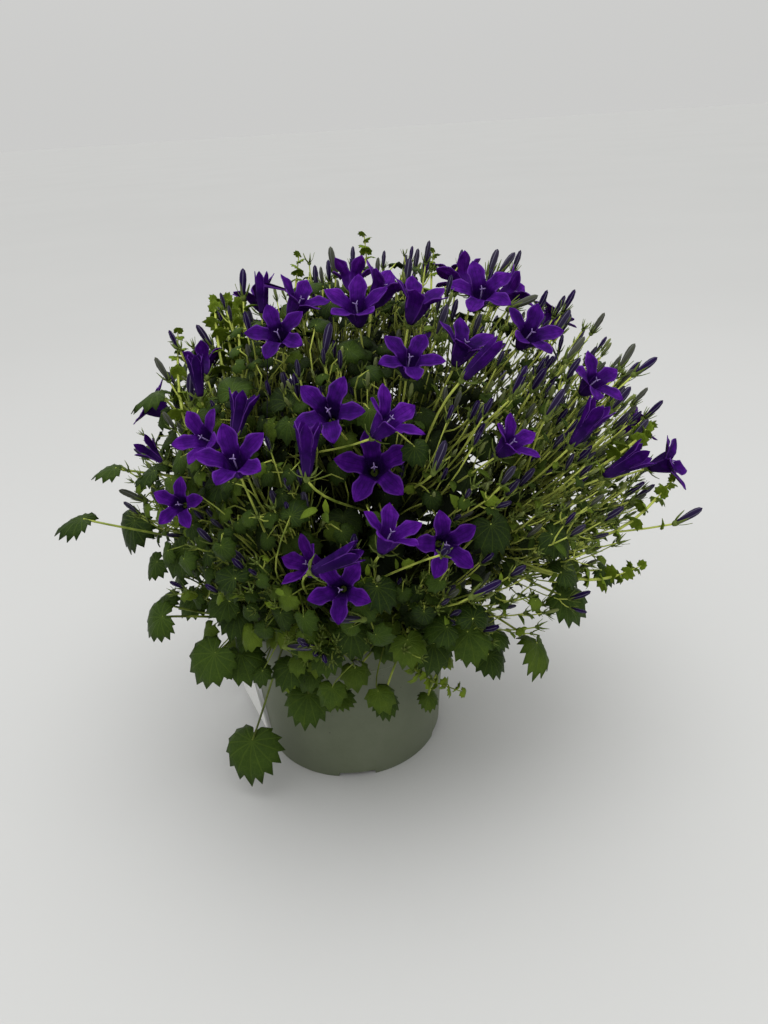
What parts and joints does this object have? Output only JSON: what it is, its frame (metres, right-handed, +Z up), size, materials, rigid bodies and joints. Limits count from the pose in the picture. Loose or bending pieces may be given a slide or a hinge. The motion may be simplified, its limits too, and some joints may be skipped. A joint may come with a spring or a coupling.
{
  "type": "potted bellflower",
  "caption": "Bellflower in a soft plastic pot: leafy stems with toothed leaves, slim ridged buds and star-shaped violet blooms over dark soil, with a blank care card.",
  "frame": {"origin": "on the pot's axis, level with the surface the pot stands on", "axes": "+Z up along the pot's axis, -Y towards the side the picture was taken from, +X to the right in the picture"},
  "size_m": [0.3077, 0.2546, 0.273],
  "materials": {
    "pot_plastic": "matt sage green moulded plastic",
    "soil": "dark brown peat soil, matt and rough",
    "card": "plain white stiff card, satin",
    "petal": "deep violet petal, soft and matt",
    "foliage": "green leaf and stem, matt with fine veins"
  },
  "bodies": {
    "root": {"bloom_01": "petal", "bloom_02": "petal", "bloom_03": "petal", "bloom_04": "petal", "bloom_05": "petal", "bloom_06": "petal", "bloom_07": "petal", "bloom_08": "petal", "bloom_09": "petal", "bloom_10": "petal", "bloom_11": "petal", "bloom_12": "petal", "bloom_13": "petal", "bloom_14": "petal", "bloom_15": "petal", "bloom_16": "petal", "bloom_17": "petal", "bloom_18": "petal", "bloom_19": "petal", "bloom_20": "petal", "bloom_21": "petal", "bloom_22": "petal", "bloom_23": "petal", "bloom_24": "petal", "bloom_25": "petal", "bloom_26": "petal", "bloom_27": "petal", "bloom_28": "petal", "bloom_29": "petal", "bloom_30": "petal", "bloom_31": "petal", "bloom_32": "petal", "bloom_33": "petal", "bloom_34": "petal", "bloom_35": "petal", "bloom_36": "petal", "bloom_37": "petal", "bloom_38": "petal", "bloom_39": "petal", "bloom_40": "petal", "bloom_41": "petal", "bloom_42": "petal", "bloom_43": "petal", "care_card": "card", "leafy_stem_01": "foliage", "leafy_stem_02": "foliage", "leafy_stem_03": "foliage", "leafy_stem_04": "foliage", "leafy_stem_05": "foliage", "leafy_stem_06": "foliage", "leafy_stem_07": "foliage", "leafy_stem_08": "foliage", "leafy_stem_09": "foliage", "leafy_stem_10": "foliage", "leafy_stem_11": "foliage", "leafy_stem_12": "foliage", "leafy_stem_13": "foliage", "leafy_stem_14": "foliage", "pot": "pot_plastic", "soil": "soil"}
  },
  "joints": []
}
